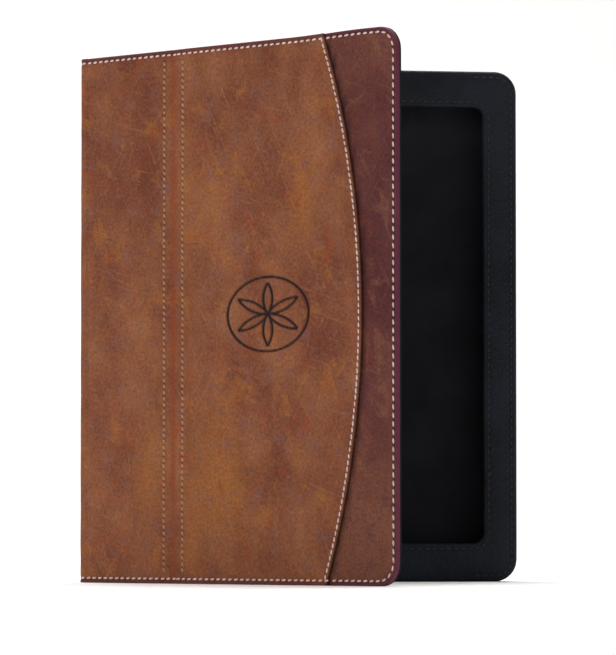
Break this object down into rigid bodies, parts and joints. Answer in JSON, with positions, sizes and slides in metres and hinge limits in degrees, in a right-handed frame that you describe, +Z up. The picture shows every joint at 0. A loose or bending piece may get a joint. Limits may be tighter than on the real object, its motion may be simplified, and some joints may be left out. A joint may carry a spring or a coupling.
{
  "type": "tablet case",
  "caption": "Leather folio case for a tablet: window-frame holder, soft spine, and a creased cover with a slip pocket that folds back into a stand.",
  "frame": {"origin": "middle of the holder's bottom face, on the surface the case stands on", "axes": "+Z up along the case's height, +X across the holder away from the spine, +Y out of the holder's back, so the window faces -Y"},
  "size_m": [0.2169, 0.1862, 0.255],
  "materials": {
    "brown_leather": "distressed vintage brown, waxed, satin",
    "dark_leather": "darker red-brown, satin",
    "black_leather": "fine grain black, low sheen",
    "black_lining": "black microsuede lining",
    "board": "grey bookbinding board",
    "pale_thread": "pale bonded thread",
    "tan_thread": "tonal brown thread",
    "black_thread": "black thread"
  },
  "bodies": {
    "holder": {"back_leather": "brown_leather", "back_board": "board", "back_lining": "black_lining", "holder_wall": "black_leather", "window_frame_lining": "black_lining", "window_frame_board": "board", "window_frame_leather": "black_leather", "window_thread": "black_thread", "frame_edge_thread": "black_thread", "back_edge_thread": "pale_thread", "stand_stop": "dark_leather", "stand_stop_thread": "pale_thread"},
    "spine": {"spine_lining": "black_lining", "spine_board": "board", "spine_leather": "brown_leather", "rear_fold_leather": "brown_leather", "rear_fold_lining": "black_lining", "front_fold_leather": "brown_leather", "front_fold_lining": "black_lining"},
    "narrow_panel": {"narrow_panel_lining": "black_lining", "narrow_panel_board": "board", "narrow_panel_leather": "brown_leather", "narrow_panel_edge_thread": "pale_thread", "crease_thread_spine_side": "tan_thread"},
    "wide_panel": {"wide_panel_lining": "black_lining", "wide_panel_board": "board", "pocket_backing_leather": "dark_leather", "pocket_front_leather": "brown_leather", "wide_panel_edge_thread": "pale_thread", "pocket_edge_thread": "pale_thread", "crease_thread_free_side": "tan_thread", "crease_lining": "black_lining", "crease_leather": "brown_leather"}
  },
  "joints": [
    {"name": "rear_spine_fold", "type": "hinge", "parent": "holder", "child": "spine", "pos_m": [-0.104, 0.00975, 0.1275], "axis": [0, 0, -1], "range_deg": [-30, 170], "deforming": ["rear_fold_leather", "rear_fold_lining"]},
    {"name": "front_spine_fold", "type": "hinge", "parent": "spine", "child": "narrow_panel", "pos_m": [-0.11645, -0.01181, 0.1275], "axis": [0, 0, -1], "range_deg": [-22, 68], "deforming": ["front_fold_leather", "front_fold_lining"]},
    {"name": "stand_crease_fold", "type": "hinge", "parent": "narrow_panel", "child": "wide_panel", "pos_m": [-0.07653, -0.06096, 0.1275], "axis": [0, 0, -1], "range_deg": [0, 105], "deforming": ["crease_leather", "crease_lining"]}
  ]
}
